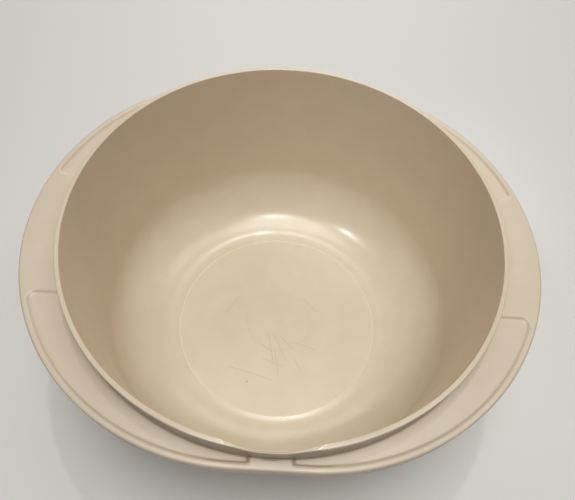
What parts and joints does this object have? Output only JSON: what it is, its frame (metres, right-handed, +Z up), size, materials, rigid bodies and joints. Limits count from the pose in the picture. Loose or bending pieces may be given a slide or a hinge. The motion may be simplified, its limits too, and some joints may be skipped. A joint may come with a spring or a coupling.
{
  "type": "mixing bowl",
  "caption": "Deep round mixing bowl moulded in one piece, with a raised lip, a dipped pouring edge, a foot ring and an oval rim with two hand grips and sunken panels.",
  "frame": {"origin": "on the table under the middle of the bowl, at the centre of the foot ring", "axes": "+Z up; +X along the longer axis of the oval rim, from grip to grip; -Y towards the pouring edge"},
  "size_m": [0.3058, 0.2668, 0.133],
  "materials": {
    "bowl_plastic": "satin moulded plastic, cream, with light rub marks inside"
  },
  "bodies": {
    "root": {"bowl": "bowl_plastic"}
  },
  "joints": []
}
